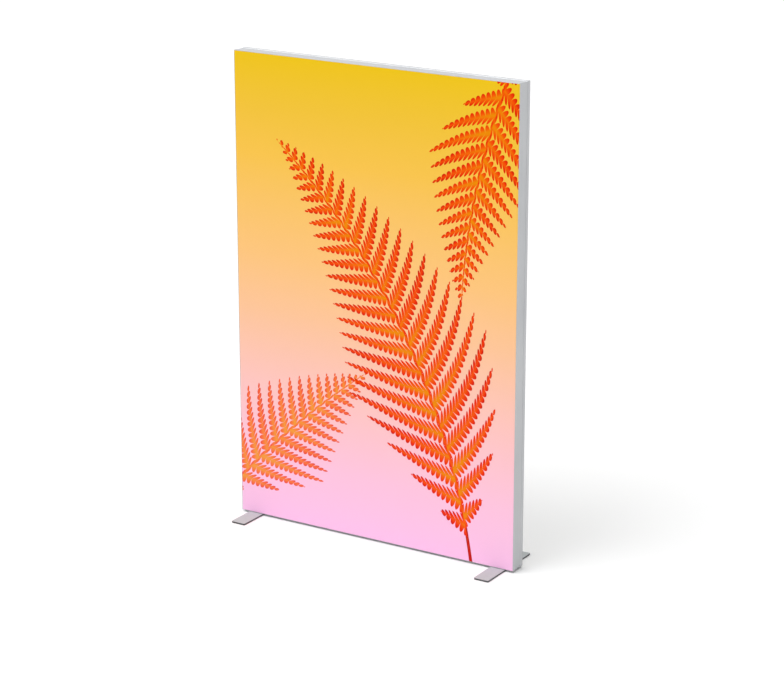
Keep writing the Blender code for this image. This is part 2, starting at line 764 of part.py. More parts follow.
def light_bars():
    """Four bars, an upper and a lower one in the channel of each stile."""
    board_mesh = led_board_mesh()
    strip_mesh = lens_mesh()
    for side in SIDES:
        member = MEMBERS[f"{side}_stile"]
        for level, sign in LEVELS.items():
            matrix = member_matrix(member, sign * BOARD_CENTRE)
            link(f"led_board_{side}_{level}", board_mesh, BOARD_WHITE).matrix_world = matrix
            link(f"lens_strip_{side}_{level}", strip_mesh, LENS_CLEAR).matrix_world = matrix


def driver_outline():
    """Section of the driver case in (u, v) about its middle, with ribs along its top."""
    half_u = DRIVER_HEIGHT / 2
    half_v = DRIVER_DEPTH / 2
    points = [(-half_u, half_v - DRIVER_CHAMFER), (-half_u + DRIVER_CHAMFER, half_v)]
    points += [(half_u - DRIVER_CHAMFER, half_v), (half_u, half_v - DRIVER_CHAMFER)]
    pitch = 2 * (half_v - DRIVER_CHAMFER) / DRIVER_RIB_COUNT
    for index in range(DRIVER_RIB_COUNT - 1):
        middle = half_v - DRIVER_CHAMFER - (index + 1) * pitch
        half_gap = pitch * (1 - DRIVER_RIB_SHARE) / 2
        points += [
            (half_u, middle + half_gap),
            (half_u - DRIVER_RIB_DEPTH, middle + half_gap),
            (half_u - DRIVER_RIB_DEPTH, middle - half_gap),
            (half_u, middle - half_gap),
        ]
    points += [(half_u, -half_v + DRIVER_CHAMFER), (half_u - DRIVER_CHAMFER, -half_v)]
    points += [(-half_u + DRIVER_CHAMFER, -half_v), (-half_u, -half_v + DRIVER_CHAMFER)]
    return points


def led_driver():
    """Slim power supply that stands on the bottom rail, with a screwed ear at each end."""
    member = MEMBERS["bottom_rail"]
    middle = on_member(member, DRIVER_BOTTOM + DRIVER_HEIGHT / 2, 0, 0)
    driver = extrusion(
        "led_driver",
        [driver_outline()],
        DRIVER_LENGTH,
        axes_matrix(middle, member.inward, DEPTH_AXIS),
        DRIVER_GREY,
    )
    ear_top = DRIVER_BOTTOM + DRIVER_EAR_THICKNESS
    for side, sign in SIDES.items():
        ear_end = sign * (DRIVER_LENGTH / 2 + DRIVER_EAR_LENGTH)
        ear_root = sign * (DRIVER_LENGTH / 2 - DRIVER_EAR_THICKNESS)
        along = sign * DRIVER_SCREW_X
        join(
            driver,
            block(
                f"driver_ear_{side}",
                on_member(member, DRIVER_BOTTOM, -DRIVER_EAR_WIDTH / 2, ear_root),
                on_member(member, ear_top, DRIVER_EAR_WIDTH / 2, ear_end),
            ),
        )
        cut(
            driver,
            rod(
                f"driver_ear_hole_{side}",
                on_member(member, SECTION_THICKNESS - OVERRUN, 0, along),
                on_member(member, ear_top + OVERRUN, 0, along),
                SCREW_RADIUS + FIT,
            ),
        )
        grip = ear_top + FIT - CHAMBER_INNER + SCREW_RADIUS
        seat = on_member(member, ear_top + FIT, 0, along)
        pan_screw(f"driver_screw_{side}", seat, member.inward, grip)
    return driver


def inlet_matrix(depth, z=0.0):
    """Matrix at a depth behind the left side, whose X runs along the frame's depth and Y upwards."""
    origin = Vector((-FRAME_WIDTH / 2 + depth, 0, INLET_Z + z))
    return axes_matrix(origin, DEPTH_AXIS, Vector((0, 0, 1)))


def sunk(name, outline, start, end, z=0.0, material=None):
    """Outline drawn inwards from one depth behind the left side to another."""
    return extrusion(name, [outline], end - start, inlet_matrix((start + end) / 2, z), material)


def socket_outline():
    """Mouth of the power socket: a rectangle with its two upper corners cut off."""
    half_w = SOCKET_WIDTH / 2
    half_h = SOCKET_HEIGHT / 2
    return [
        (-half_w, -half_h),
        (half_w, -half_h),
        (half_w, half_h - SOCKET_CHAMFER),
        (half_w - SOCKET_CHAMFER, half_h),
        (-half_w + SOCKET_CHAMFER, half_h),
        (-half_w, half_h - SOCKET_CHAMFER),
    ]


def pin_block(name, place, start, end, gap=0.0, material=None):
    v, z = place
    left = -FRAME_WIDTH / 2
    half_w = PIN_WIDTH / 2 + gap
    half_h = PIN_HEIGHT / 2 + gap
    return block(
        name,
        (left + start, v - half_w, INLET_Z + z - half_h),
        (left + end, v + half_w, INLET_Z + z + half_h),
        material,
    )


def inlet_housing():
    """Moulded housing with a flange outside, the power socket below and the rocker's pocket above."""
    flange = sunk(
        "inlet_housing",
        rounded_rectangle(INLET_FLANGE_WIDTH / 2, INLET_FLANGE_HEIGHT / 2, INLET_FLANGE_ROUND),
        0,
        INLET_FLANGE_THICKNESS,
        material=BLACK_PLASTIC,
    )
    body_start = INLET_FLANGE_THICKNESS / 2
    body = sunk(
        "inlet_body",
        rectangle(INLET_BODY_WIDTH / 2, INLET_BODY_HEIGHT / 2),
        body_start,
        INLET_BODY_DEPTH,
    )
    pocket = rectangle(ROCKER_POCKET_WIDTH / 2, ROCKER_POCKET_HEIGHT / 2)
    join(flange, body)
    cut(
        flange,
        sunk("socket_cavity", socket_outline(), -OVERRUN, SOCKET_DEPTH, SOCKET_Z),
        sunk("rocker_pocket", pocket, -OVERRUN, ROCKER_POCKET_DEPTH, ROCKER_Z),
    )
    for kind, place in PIN_PLACES.items():
        slot_start = SOCKET_DEPTH - INLET_FLANGE_THICKNESS
        slot_end = INLET_BODY_DEPTH + OVERRUN
        cut(flange, pin_block(f"{kind}_slot", place, slot_start, slot_end, FIT))
    reach = (ROCKER_POCKET_WIDTH / 2 + TRUNNION_LENGTH + FIT) * DEPTH_AXIS
    trunnion_start, trunnion_end = ROCKER_PIVOT - reach, ROCKER_PIVOT + reach
    cut(flange, rod("trunnion_holes", trunnion_start, trunnion_end, TRUNNION_RADIUS + FIT))
    return flange


def inlet_pins():
    for kind, place in PIN_PLACES.items():
        end = INLET_BODY_DEPTH + PIN_TAIL
        pin_block(f"inlet_pin_{kind}", place, PIN_MOUTH_SETBACK, end, material=BRASS)


def rocker_outline():
    """Side view of the rocker about its pivot: X along its length, Y inwards; its ends are arcs."""
    end_angle = math.asin(ROCKER_END_RISE / ROCKER_RADIUS)
    half_length = ROCKER_RADIUS * math.cos(end_angle)
    skirt_angle = math.asin(ROCKER_SKIRT / ROCKER_RADIUS)
    right = []
    for step in range(ROCKER_ARC_STEPS + 1):
        angle = -end_angle + (end_angle + skirt_angle) * step / ROCKER_ARC_STEPS
        right.append((ROCKER_RADIUS * math.cos(angle), ROCKER_RADIUS * math.sin(angle)))
    right += [
        (ROCKER_STEM_HALF_WIDTH, ROCKER_SKIRT),
        (ROCKER_STEM_HALF_WIDTH, ROCKER_STEM_LENGTH),
    ]
    left = [(-x, y) for x, y in reversed(right)]
    dip = (0, -ROCKER_END_RISE + half_length * math.tan(ROCKER_TILT))
    return right + left + [dip]


def switch_rocker():
    """Rocker of the switch, tilted so that its upper half is pressed in; it turns about world Y."""
    half_width = ROCKER_POCKET_WIDTH / 2 - FIT
    upright = axes_matrix(ROCKER_PIVOT, Vector((0, 0, 1)), Vector((1, 0, 0)))
    tilt = Matrix.Rotation(ROCKER_TILT, 4, "Z")
    rocker = extrusion("switch_rocker", [rocker_outline()], 2 * half_width, upright @ tilt, BLACK_PLASTIC)
    reach = (ROCKER_POCKET_WIDTH / 2 + TRUNNION_LENGTH) * DEPTH_AXIS
    trunnion_start, trunnion_end = ROCKER_PIVOT - reach, ROCKER_PIVOT + reach
    return join(rocker, rod("rocker_trunnions", trunnion_start, trunnion_end, TRUNNION_RADIUS))


def rounded_route(points, bend):
    """Route through corner points, each inner corner replaced by a smooth bend of the given reach."""
    route = [points[0]]
    for before, corner, after in zip(points, points[1:], points[2:]):
        start = corner + (before - corner).normalized() * bend
        end = corner + (after - corner).normalized() * bend
        for step in range(BEND_STEPS):
            t = step / (BEND_STEPS - 1)
            route.append((1 - t) ** 2 * start + 2 * t * (1 - t) * corner + t**2 * end)
    route.append(points[-1])
    return route


def lead(name, points, bend, radius, material):
    """Round lead along a route of corner points."""
    curve = bpy.data.curves.new(name, "CURVE")
    curve.dimensions = "3D"
    curve.bevel_depth = radius
    curve.bevel_resolution = LEAD_BEVEL_RESOLUTION
    curve.use_fill_caps = True
    route = rounded_route([Vector(point) for point in points], bend)
    spline = curve.splines.new("POLY")
    spline.points.add(len(route) - 1)
    for point, place in zip(spline.points, route):
        point.co = (*place, 1)
    drawn = bpy.data.objects.new(name, curve)
    PARTS.objects.link(drawn)
    mesh = smoothed(evaluated_mesh(drawn, name))
    bpy.data.objects.remove(drawn, do_unlink=True)
    return link(name, mesh, material)


def mains_lead():
    """From the inlet through the stile's inner wall, round the bottom corner and along to the driver."""
    left = -FRAME_WIDTH / 2
    lane = CHANNEL_FLOOR + FIT + MAINS_LEAD_RADIUS
    hole_z = FRAME_LIFT + MAINS_HOLE_RISE
    driver_end = -DRIVER_LENGTH / 2
    y = -MAINS_LEAD_OFFSET
    points = [
        (left + MAINS_OUTLET_DEPTH, y, INLET_Z - INLET_BODY_HEIGHT / 2 - FIT),
        (left + MAINS_OUTLET_DEPTH, y, hole_z),
        (left + lane, y, hole_z),
        (left + lane, y, FRAME_LIFT + lane),
        (driver_end - LEAD_RISE_RUN, y, FRAME_LIFT + lane),
        (driver_end - LEAD_RISE_RUN / 2, y, FRAME_LIFT + DRIVER_PORT),
        (driver_end - FIT, y, FRAME_LIFT + DRIVER_PORT),
    ]
    return lead("mains_lead", points, MAINS_BEND, MAINS_LEAD_RADIUS, LEAD_BLACK)


def led_leads():
    """One lead from the driver to the lower bar on each side, and a jumper past each crossbar bracket."""
    lane = CHANNEL_FLOOR + FIT + LED_LEAD_RADIUS
    y = LED_LEAD_OFFSET
    board_low = FRAME_MIDDLE - BOARD_CENTRE - BOARD_LENGTH / 2
    jumper_reach = BRACKET_HEIGHT / 2 + BOARD_BRACKET_GAP - FIT
    for side, sign in SIDES.items():
        edge = sign * (FRAME_WIDTH / 2 - lane)
        driver_end = sign * DRIVER_LENGTH / 2
        points = [
            (edge, y, board_low - FIT),
            (edge, y, FRAME_LIFT + lane),
            (driver_end + sign * LEAD_RISE_RUN, y, FRAME_LIFT + lane),
            (driver_end + sign * LEAD_RISE_RUN / 2, y, FRAME_LIFT + DRIVER_PORT),
            (driver_end + sign * FIT, y, FRAME_LIFT + DRIVER_PORT),
        ]
        lead(f"led_lead_{side}", points, LED_LEAD_BEND, LED_LEAD_RADIUS, LEAD_WHITE)
        ends = [(edge, y, FRAME_MIDDLE - jumper_reach), (edge, y, FRAME_MIDDLE + jumper_reach)]
        lead(f"jumper_lead_{side}", ends, LED_LEAD_BEND, LED_LEAD_RADIUS, LEAD_WHITE)


def fabric_panel(face):
    """Tensioned fabric over one whole face, level with the tips of the outer lips."""
    sign = FACES[face]
    half_width = FRAME_WIDTH / 2 - FABRIC_EDGE
    low = (-half_width, sign * FABRIC_BACK, FRAME_LIFT + FABRIC_EDGE)
    high = (half_width, sign * HALF_DEPTH, FRAME_TOP - FABRIC_EDGE)
    return block(f"{face}_fabric", low, high, FRONT_CLOTH if face == "front" else BACK_CLOTH)


def edge_strips(face):
    """Four silicone strips on the edges of one fabric, pushed into the grooves of the members."""
    sign = FACES[face]
    outer = STRIP_DISTANCE
    inner = outer + EDGE_STRIP_THICKNESS
    top = FABRIC_BACK - FIT
    tip = top - EDGE_STRIP_HEIGHT
    outline = [
        (outer, sign * top),
        (outer, sign * (tip + EDGE_STRIP_CHAMFER)),
        (outer + EDGE_STRIP_CHAMFER, sign * tip),
        (inner - EDGE_STRIP_CHAMFER, sign * tip),
        (inner, sign * (tip + EDGE_STRIP_CHAMFER)),
        (inner, sign * top),
    ]
    for name, member in MEMBERS.items():
        setback = outer if name.endswith("rail") else inner + EDGE_STRIP_SETBACK
        extrusion(
            f"{face}_edge_strip_{name.split('_')[0]}",
            [outline],
            member.length - 2 * setback,
            member_matrix(member),
            SILICONE,
        )


def foot_screw_profile(gap):
    """Countersunk screw from its head's flat face at height zero upwards, wider all round by gap."""
    cone = FOOT_SCREW_HEAD_RADIUS - FOOT_SCREW_RADIUS
    head_top = FOOT_SCREW_HEAD_RIM + cone
    length = FRAME_LIFT + FOOT_SCREW_GRIP - PLATE_UNDERSIDE
    return [
        (0, length),
        (FOOT_SCREW_RADIUS + gap, length),
        (FOOT_SCREW_RADIUS + gap, head_top),
        (FOOT_SCREW_HEAD_RADIUS + gap, FOOT_SCREW_HEAD_RIM),
        (FOOT_SCREW_HEAD_RADIUS + gap, -gap),
    ]


def foot(side):
    """Steel foot plate on a rubber pad, free to swivel on the screw in the corner key above it."""
    x = SIDES[side] * FOOT_X
    pivot = bpy.data.objects.new(f"{side}_foot_pivot", None)
    PARTS.objects.link(pivot)
    pivot.location = (x, 0, 0)
    head = Matrix.Translation((x, 0, PLATE_UNDERSIDE))

    plate = extrusion(
        f"{side}_foot_plate",
        [rounded_rectangle(FOOT_WIDTH / 2, FOOT_LENGTH / 2, FOOT_CORNER)],
        FOOT_THICKNESS,
        Matrix.Translation((x, 0, PLATE_UNDERSIDE + FOOT_THICKNESS / 2)),
        SILVER_STEEL,
    )
    sink_profile = foot_screw_profile(FIT) + [(0, -FIT)]
    cut(plate, turned(f"{side}_countersink", sink_profile, FOOT_SCREW_STEPS, head))

    pad = extrusion(
        f"{side}_foot_pad",
        [
            rounded_rectangle(
                FOOT_WIDTH / 2 - PAD_MARGIN,
                FOOT_LENGTH / 2 - PAD_MARGIN,
                FOOT_CORNER - PAD_MARGIN,
            )
        ],
        PAD_THICKNESS,
        Matrix.Translation((x, 0, PAD_THICKNESS / 2)),
        RUBBER,
    )
    opening_radius = FOOT_SCREW_HEAD_RADIUS + PAD_MARGIN
    opening_top = (x, 0, PAD_THICKNESS + OVERRUN)
    cut(pad, rod(f"{side}_pad_opening", (x, 0, -OVERRUN), opening_top, opening_radius))

    bpy.context.view_layer.update()
    for piece in (plate, pad):
        piece.parent = pivot
        piece.matrix_parent_inverse = pivot.matrix_world.inverted()

    screw_profile = foot_screw_profile(0) + [
        (FOOT_SCREW_SOCKET_RADIUS, 0),
        (FOOT_SCREW_SOCKET_RADIUS, FOOT_SCREW_SOCKET_DEPTH),
        (0, FOOT_SCREW_SOCKET_DEPTH),
    ]
    return turned(f"{side}_foot_screw", screw_profile, FOOT_SCREW_STEPS, head, ZINC)


def build_frame():
    members = {name: frame_member(name) for name in MEMBERS}
    for level in LEVELS:
        for side in SIDES:
            corner_key(level, side)
            corner_screws(level, side)
    for name, member in MEMBERS.items():
        for sign in SIDES.values():
            along = sign * (member.length / 2 - CORNER_SCREW_SETBACK)
            cut(members[name], wall_hole(f"{name}_screw_hole_{sign}", member, along, 0, SCREW_RADIUS + FIT))
    for side in SIDES:
        name = f"{side}_stile"
        for level, sign in LEVELS.items():
            along = sign * BRACKET_SCREW_OFFSET
            hole = wall_hole(f"{name}_{level}_bracket_hole", MEMBERS[name], along, 0, SCREW_RADIUS + FIT)
            cut(members[name], hole)
    bottom = MEMBERS["bottom_rail"]
    for side, sign in SIDES.items():
        driver_hole = wall_hole(
            f"driver_hole_{side}", bottom, sign * DRIVER_SCREW_X, 0, SCREW_RADIUS + FIT
        )
        foot_hole = wall_hole(
            f"foot_hole_{side}", bottom, sign * FOOT_X, 0, FOOT_SCREW_RADIUS + FIT, outer=True
        )
        cut(members["bottom_rail"], driver_hole, foot_hole)
    return members


def cut_inlet_openings(stile):
    """Window in the left stile for the inlet, and the hole that lets its lead through the inner wall."""
    window = rectangle(INLET_BODY_WIDTH / 2 + FIT, INLET_BODY_HEIGHT / 2 + FIT)
    member = MEMBERS["left_stile"]
    along = MAINS_HOLE_RISE - FRAME_HEIGHT / 2
    cut(
        stile,
        sunk("inlet_window", window, -OVERRUN, CHAMBER_OUTER + OVERRUN),
        wall_hole("mains_lead_hole", member, along, -MAINS_LEAD_OFFSET, MAINS_HOLE_RADIUS),
    )


def build():
    members = build_frame()
    cut_inlet_openings(members["left_stile"])
    crossbar()
    for side in SIDES:
        crossbar_bracket(side)
    light_bars()
    led_driver()
    inlet_housing()
    inlet_pins()
    switch_rocker()
    mains_lead()
    led_leads()
    for face in FACES:
        fabric_panel(face)
        edge_strips(face)
    for side in SIDES:
        foot(side)


build()
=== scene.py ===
"""Looks of a free-standing light box: an aluminium frame with a printed fabric stretched over its front, a
plain one over its back, the lighting inside, and two flat feet. Metres, +Z up, the front faces -Y."""

import json
import math

import bpy
import numpy as np
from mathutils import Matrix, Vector


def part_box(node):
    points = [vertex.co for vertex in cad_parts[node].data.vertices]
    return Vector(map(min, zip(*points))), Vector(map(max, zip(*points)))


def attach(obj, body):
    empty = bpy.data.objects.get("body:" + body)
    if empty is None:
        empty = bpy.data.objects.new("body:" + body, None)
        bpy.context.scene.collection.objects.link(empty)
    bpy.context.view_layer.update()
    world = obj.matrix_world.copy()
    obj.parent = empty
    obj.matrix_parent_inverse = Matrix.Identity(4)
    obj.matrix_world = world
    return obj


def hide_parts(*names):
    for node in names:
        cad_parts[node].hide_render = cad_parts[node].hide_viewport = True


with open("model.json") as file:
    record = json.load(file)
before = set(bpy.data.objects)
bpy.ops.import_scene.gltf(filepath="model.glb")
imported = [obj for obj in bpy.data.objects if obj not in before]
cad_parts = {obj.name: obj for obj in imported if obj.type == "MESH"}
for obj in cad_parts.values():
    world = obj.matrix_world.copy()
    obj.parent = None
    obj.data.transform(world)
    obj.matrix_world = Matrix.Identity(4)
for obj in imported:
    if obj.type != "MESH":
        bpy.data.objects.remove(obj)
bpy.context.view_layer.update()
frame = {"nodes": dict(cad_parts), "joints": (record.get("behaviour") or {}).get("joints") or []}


# Camera: stands to the front right of the light box and looks down on it, as the photographer did.
look_at = Vector((0.0499, 0.0, 0.6376))
camera_yaw = math.radians(31.83)
camera_pitch = math.radians(17.30)
camera_distance = 7.683
lens_mm = 115.51

camera_data = bpy.data.cameras.new("camera")
camera_data.sensor_width = 36.0
camera_data.lens = lens_mm
camera = bpy.data.objects.new("camera", camera_data)
bpy.context.scene.collection.objects.link(camera)
forward = Vector((
    -math.sin(camera_yaw) * math.cos(camera_pitch),
    math.cos(camera_yaw) * math.cos(camera_pitch),
    -math.sin(camera_pitch),
))
camera.location = look_at - forward * camera_distance
camera.rotation_euler = forward.to_track_quat("-Z", "Y").to_euler()
bpy.context.scene.camera = camera
bpy.context.scene.view_settings.view_transform = "Standard"


# Studio: a white paper sweep under two soft lamps. The world is plain white to the camera, in reflections and
# through clear pieces, and softer where it lights the object.
ambient_level = 0.27


def linear(tint):
    """sRGB hex colour in linear light: c / 12.92 up to 0.04045, else ((c + 0.055) / 1.055) ^ 2.4."""
    shares = np.array([int(tint[i : i + 2], 16) for i in (1, 3, 5)]) / 255
    made = np.where(shares <= 0.04045, shares / 12.92, ((shares + 0.055) / 1.055) ** 2.4)
    return (*map(float, made), 1.0)


def live_socket(sockets, key):
    """A socket in use, by its place or its name."""
    live = [socket for socket in sockets if socket.enabled]
    return live[key] if isinstance(key, int) else next(socket for socket in live if socket.name == key)


def feed(tree, node, inputs):
    """Sets inputs, by name or in order, to a number, a colour, a node's first output or a given output."""
    for key, value in inputs.items() if isinstance(inputs, dict) else enumerate(inputs):
        taken = live_socket(node.inputs, key)
        if isinstance(value, bpy.types.Node):
            value = live_socket(value.outputs, 0)
        if isinstance(value, bpy.types.NodeSocket):
            tree.links.new(value, taken)
        else:
            taken.default_value = value


def add(tree, kind, inputs=(), stops=None, **settings):
    """Adds a node with its settings, its inputs and, for a colour ramp, its stops."""
    node = tree.nodes.new(kind)
    for name, value in settings.items():
        setattr(node, name, value)
    for place, colour in stops or []:
        ends = node.color_ramp.elements
        fresh = ends[0] if place == stops[0][0] else ends[-1] if place == stops[-1][0] else ends.new(place)
        fresh.position = place
        fresh.color = colour
    feed(tree, node, inputs)
    return node


def new_finish(name):
    """A new material: its node tree and its main shader."""
    material = bpy.data.materials.new(name)
    material.use_nodes = True
    return material, material.node_tree, material.node_tree.nodes["Principled BSDF"]


def mesh_piece(name, points, faces, material, smooth=True):
    """A mesh object at the origin, with its place in its vertices."""
    mesh = bpy.data.meshes.new(name)
    mesh.from_pydata(np.asarray(points, float).tolist(), [], [tuple(map(int, face)) for face in faces])
    mesh.update()
    mesh.polygons.foreach_set("use_smooth", [smooth] * len(mesh.polygons))
    piece = bpy.data.objects.new(name, mesh)
    bpy.context.scene.collection.objects.link(piece)
    mesh.materials.append(material)
    return piece


world = bpy.data.worlds.new("white_studio")
bpy.context.scene.world = world
world.use_nodes = True
sky = world.node_tree
sky.nodes.clear()
rays = add(sky, "ShaderNodeLightPath").outputs
seen = add(sky, "ShaderNodeMath", (rays["Is Camera Ray"], rays["Is Glossy Ray"]), operation="MAXIMUM")
seen = add(sky, "ShaderNodeMath", (seen, rays["Is Transmission Ray"]), operation="MAXIMUM")
soft = add(sky, "ShaderNodeBackground", {"Color": linear("#FFFFFF"), "Strength": ambient_level})
plain = add(sky, "ShaderNodeBackground", {"Color": linear("#FFFFFF"), "Strength": 1.0})
mixed = add(sky, "ShaderNodeMixShader", (seen, soft, plain))
add(sky, "ShaderNodeOutputWorld", (mixed,))

floor_reach = 45.0
floor_glow = 0.03
white_sweep, tree, shader = new_finish("white_paper_sweep")
tree.nodes.clear()
paper = add(tree, "ShaderNodeBsdfDiffuse", {"Color": linear("#FFFFFF")})
rays = add(tree, "ShaderNodeLightPath").outputs
seen = add(tree, "ShaderNodeMath", (rays["Is Camera Ray"], rays["Is Glossy Ray"]), operation="MAXIMUM")
seen = add(tree, "ShaderNodeMath", (seen, floor_glow), operation="MULTIPLY")
glow = add(tree, "ShaderNodeEmission", {"Color": linear("#FFFFFF"), "Strength": seen})
add(tree, "ShaderNodeOutputMaterial", (add(tree, "ShaderNodeAddShader", (paper, glow)),))
corners = floor_reach * np.array([(-1, -1, 0), (1, -1, 0), (1, 1, 0), (-1, 1, 0)])
mesh_piece("studio_floor", corners, [(0, 1, 2, 3)], white_sweep)

# Each lamp: the direction that it shines from, the level at which it lights white paper square on, and its
# spread in degrees.
lamps = {
    "overhead_softbox": ((-0.10, -0.20, 1.0), 0.60, 80.0),
    "front_left_softbox": ((-0.45, -0.70, 1.10), 0.28, 40.0),
}
for name, (direction, level, spread) in lamps.items():
    lamp_data = bpy.data.lights.new(name, "SUN")
    lamp_data.energy = level * math.pi
    lamp_data.angle = math.radians(spread)
    lamp = bpy.data.objects.new(name, lamp_data)
    bpy.context.scene.collection.objects.link(lamp)
    lamp.rotation_euler = Vector(direction).to_track_quat("Z", "Y").to_euler()


# Frame: four lengths of one aluminium extrusion, mitred and anodised a natural silver, and the drawn tube of
# the crossbar. The die leaves fine lines along each length. The oxide layer scatters light, so it looks half
# metal and half pale grey.
def dress(names, material):
    """Gives CAD nodes a finished material."""
    for name in names:
        node = frame["nodes"][name]
        for slot in node.material_slots:
            slot.material = material


def anodised_extrusion(name, stretch, tints):
    """Satin silver with lines drawn out along the length: noise read in coordinates squeezed along it."""
    material, tree, shader = new_finish(name)
    place = add(tree, "ShaderNodeTexCoord").outputs["Object"]
    drawn = add(tree, "ShaderNodeMapping", {"Vector": place, "Scale": stretch})
    lines = add(tree, "ShaderNodeTexNoise", {"Vector": drawn, "Scale": 1.0, "Detail": 3.0, "Roughness": 0.6})
    cloud = add(tree, "ShaderNodeTexNoise", {"Vector": place, "Scale": 4.0, "Detail": 2.0})
    tone = add(tree, "ShaderNodeMath", (lines, cloud), operation="ADD")
    tone = add(tree, "ShaderNodeMapRange", {"Value": tone, "From Min": 0.7, "From Max": 1.3})
    tones = {"Factor": tone, "A": linear(tints[0]), "B": linear(tints[1])}
    colour = add(tree, "ShaderNodeMix", tones, data_type="RGBA")
    satin = add(tree, "ShaderNodeMapRange", {"Value": lines, "To Min": 0.34, "To Max": 0.46})
    bump = add(tree, "ShaderNodeBump", {"Height": lines, "Strength": 0.12, "Distance": 0.0004})
    feed(tree, shader, {"Base Color": colour, "Metallic": 0.40, "Roughness": satin, "Normal": bump})
    return material


# The lines are 0.3 to 0.5 mm apart on the real extrusion; here they are 1.2 mm apart, so that they show.
line_scale = 1 / 0.0012
run_scale = 1 / 0.6
crosswise = (run_scale, line_scale, line_scale)
upright = (line_scale, line_scale, run_scale)
silver = ("#BABCBF", "#C7C9CB")
dress(["top_rail", "bottom_rail"], anodised_extrusion("anodised_aluminium_rail", crosswise, silver))
dress(["left_stile", "right_stile"], anodised_extrusion("anodised_aluminium_stile", upright, silver))
dress(["crossbar"], anodised_extrusion("anodised_aluminium_tube", crosswise, silver))


# Corner keys and crossbar brackets: die-cast aluminium, left as cast, with the fine grain of the die.
def grained(name, tints, metallic, roughness, grain_mm, bump_mm):
    """A finish with an even grain: noise with features of grain_mm tints, dulls and raises the surface, under
    a cloud with features 17 times as large."""
    material, tree, shader = new_finish(name)
    place = add(tree, "ShaderNodeTexCoord").outputs["Object"]
    grain = add(tree, "ShaderNodeTexNoise", {"Vector": place, "Scale": 1000.0 / grain_mm, "Detail": 4.0})
    cloud = add(tree, "ShaderNodeTexNoise", {"Vector": place, "Scale": 60.0 / grain_mm, "Detail": 2.0})
    tone = add(tree, "ShaderNodeMath", (grain, cloud), operation="ADD")
    tone = add(tree, "ShaderNodeMapRange", {"Value": tone, "From Min": 0.7, "From Max": 1.3})
    tones = {"Factor": tone, "A": linear(tints[0]), "B": linear(tints[1])}
    colour = add(tree, "ShaderNodeMix", tones, data_type="RGBA")
    dull = add(tree, "ShaderNodeMapRange", {"Value": grain, "To Min": roughness[0], "To Max": roughness[1]})
    bump = add(tree, "ShaderNodeBump", {"Height": grain, "Strength": 0.5, "Distance": bump_mm / 1000.0})
    feed(tree, shader, {"Base Color": colour, "Metallic": metallic, "Roughness": dull, "Normal": bump})
    return material


cast_aluminium = grained("die_cast_aluminium", ("#8F9194", "#A4A6A9"), 0.85, (0.45, 0.6), 0.8, 0.05)
keys = [f"corner_key_{level}_{side}" for level in ("bottom", "top") for side in ("left", "right")]
dress(keys + ["crossbar_bracket_left", "crossbar_bracket_right"], cast_aluminium)


# Screws: cold-formed steel, bright zinc plated.
zinc_plate = grained("bright_zinc_plated_steel", ("#B9BAB6", "#CDCDC8"), 1.0, (0.28, 0.4), 0.6, 0.01)
dress([name for name in frame["nodes"] if "screw" in name], zinc_plate)


# Light bars: white solder mask over a glass-fibre board, with soldered chips under moulded clear lenses. The
# copper shows faintly through the mask, and the phosphor in the chips is yellow while the light is off.
chip_face = -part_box("led_board_left_top")[1].x
chip_height = 0.0008
chip_edge = chip_face + chip_height / 2
trace_offset = 0.0085
trace_half_width = 0.0008


def circuit_board(name):
    """White board with a copper line along each edge under the mask, and yellow where a chip stands up."""
    material, tree, shader = new_finish(name)
    place = add(tree, "ShaderNodeTexCoord").outputs["Object"]
    parts = add(tree, "ShaderNodeSeparateXYZ", (place,))
    off_middle = add(tree, "ShaderNodeMath", (parts.outputs["Y"],), operation="ABSOLUTE")
    trace = add(tree, "ShaderNodeMath", (off_middle, trace_offset, trace_half_width), operation="COMPARE")
    speckle = add(tree, "ShaderNodeTexNoise", {"Vector": place, "Scale": 900.0, "Detail": 2.0})
    tone = add(tree, "ShaderNodeMath", (trace, speckle), operation="MULTIPLY")
    tones = {"Factor": tone, "A": linear("#F1F1EC"), "B": linear("#CFCBB8")}
    colour = add(tree, "ShaderNodeMix", tones, data_type="RGBA")
    from_middle = add(tree, "ShaderNodeMath", (parts.outputs["X"],), operation="ABSOLUTE")
    chip = add(tree, "ShaderNodeMath", (from_middle, chip_edge), operation="LESS_THAN")
    tones = {"Factor": chip, "A": colour, "B": linear("#EFD24A")}
    colour = add(tree, "ShaderNodeMix", tones, data_type="RGBA")
    satin = add(tree, "ShaderNodeMapRange", {"Value": speckle, "To Min": 0.38, "To Max": 0.52})
    bump = add(tree, "ShaderNodeBump", {"Height": trace, "Strength": 0.4, "Distance": 0.00005})
    feed(tree, shader, {"Base Color": colour, "Roughness": satin, "Normal": bump})
    return material


bars = [f"{side}_{level}" for side in ("left", "right") for level in ("bottom", "top")]
dress([f"led_board_{bar}" for bar in bars], circuit_board("white_masked_circuit_board"))

clear_lens = grained("moulded_clear_acrylic", ("#E9F0F2", "#F6FAFB"), 0.0, (0.06, 0.12), 3.0, 0.01)
clear_shader = clear_lens.node_tree.nodes["Principled BSDF"]
feed(clear_lens.node_tree, clear_shader, {"Transmission Weight": 0.85, "IOR": 1.49})
dress([f"lens_strip_{bar}" for bar in bars], clear_lens)


# Driver: folded sheet case, grey powder coat, on the bottom rail.
powder_grey = grained("grey_powder_coat", ("#66686B", "#77797C"), 0.0, (0.42, 0.6), 1.2, 0.04)
dress(["led_driver"], powder_grey)


# Leads: round cable, extruded sheath, black for mains and white for the low-voltage side.
black_sheath = grained("black_cable_sheath", ("#1B1B1C", "#262627"), 0.0, (0.5, 0.65), 2.0, 0.02)
white_sheath = grained("white_cable_sheath", ("#DAD9D4", "#E8E7E2"), 0.0, (0.45, 0.6), 2.0, 0.02)
dress(["mains_lead"], black_sheath)
dress(["led_lead_left", "led_lead_right", "jumper_lead_left", "jumper_lead_right"], white_sheath)


